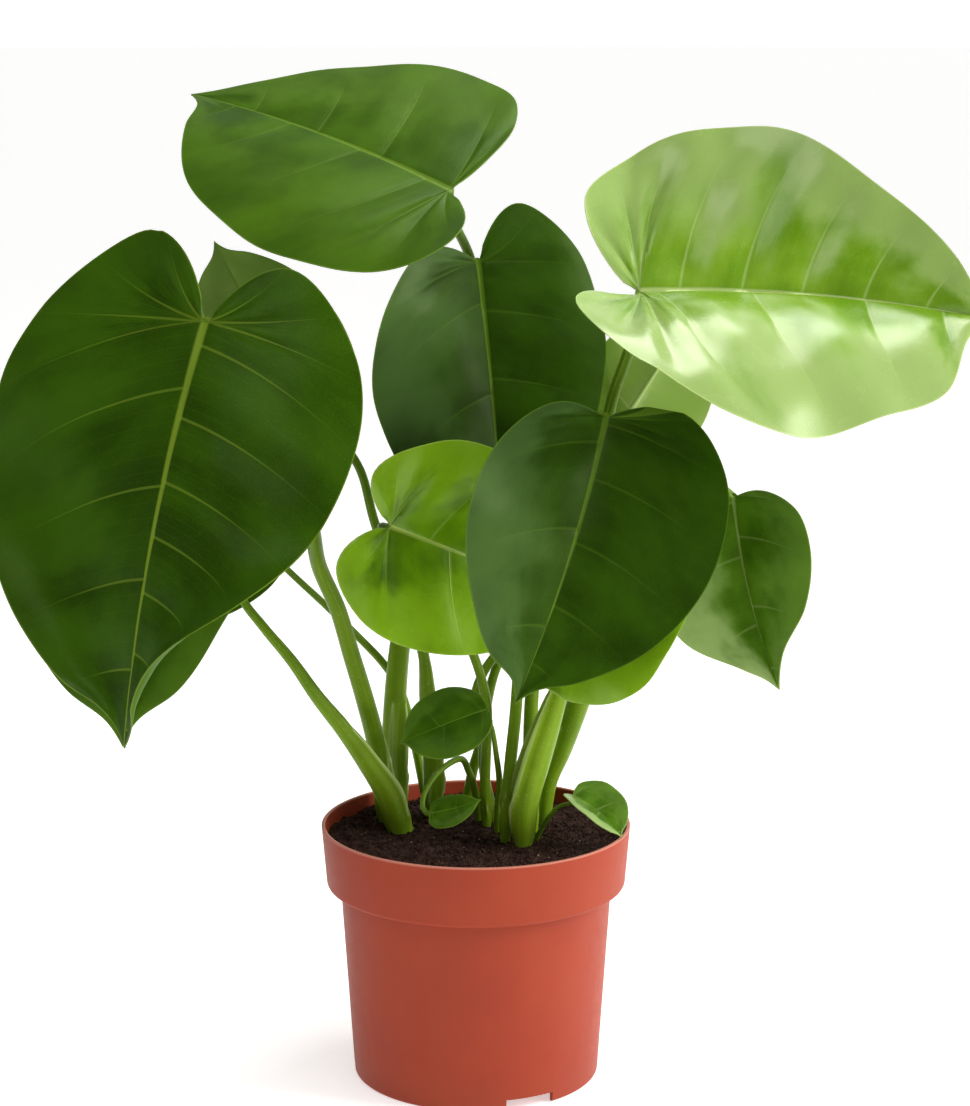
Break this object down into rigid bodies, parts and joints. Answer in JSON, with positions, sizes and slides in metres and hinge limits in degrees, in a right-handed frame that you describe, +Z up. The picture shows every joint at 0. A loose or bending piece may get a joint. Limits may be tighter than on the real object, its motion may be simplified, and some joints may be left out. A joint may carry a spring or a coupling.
{
  "type": "potted swiss cheese plant",
  "caption": "Young climbing house plant with whole heart-shaped leaves on long sheathed stems, growing from peat soil in a tapered plastic nursery pot with a stepped collar",
  "frame": {"origin": "centre of the pot's flat underside, on the ground", "axes": "+Z is up, -Y is the front that the picture shows, +X is to the right seen from the front"},
  "size_m": [0.5328, 0.2404, 0.551],
  "materials": {
    "pot": "satin moulded plastic, terracotta orange",
    "soil": null,
    "leaf_green": "waxy leaf skin, deep green, paler below",
    "leaf_young": "glossy young leaf skin, bright yellow-green",
    "stem": "smooth waxy leaf stalk, yellow-green"
  },
  "bodies": {
    "root": {"pot": "pot", "soil": "soil", "leaf_upper_left": "leaf_green", "leaf_upper_right": "leaf_young", "leaf_large_left": "leaf_green", "leaf_left_nested": "leaf_green", "leaf_left_upturned": "leaf_green", "leaf_left_hidden": "leaf_green", "leaf_center_back": "leaf_green", "leaf_center_front": "leaf_green", "leaf_young_cupped": "leaf_young", "leaf_right_folded": "leaf_green", "leaf_right_upturned": "leaf_young", "leaf_front_under": "leaf_young", "leaf_small_middle": "leaf_green", "leaf_tiny_low": "leaf_green", "leaf_small_right": "leaf_green", "stem_upper_left": "stem", "stem_upper_right": "stem", "stem_large_left": "stem", "stem_left_nested": "stem", "stem_left_upturned": "stem", "stem_left_hidden": "stem", "stem_center_back": "stem", "stem_center_front": "stem", "stem_young_cupped": "stem", "stem_right_folded": "stem", "stem_right_upturned": "stem", "stem_front_under": "stem", "stem_small_middle": "stem", "stem_tiny_low": "stem", "stem_small_right": "stem"}
  },
  "joints": []
}
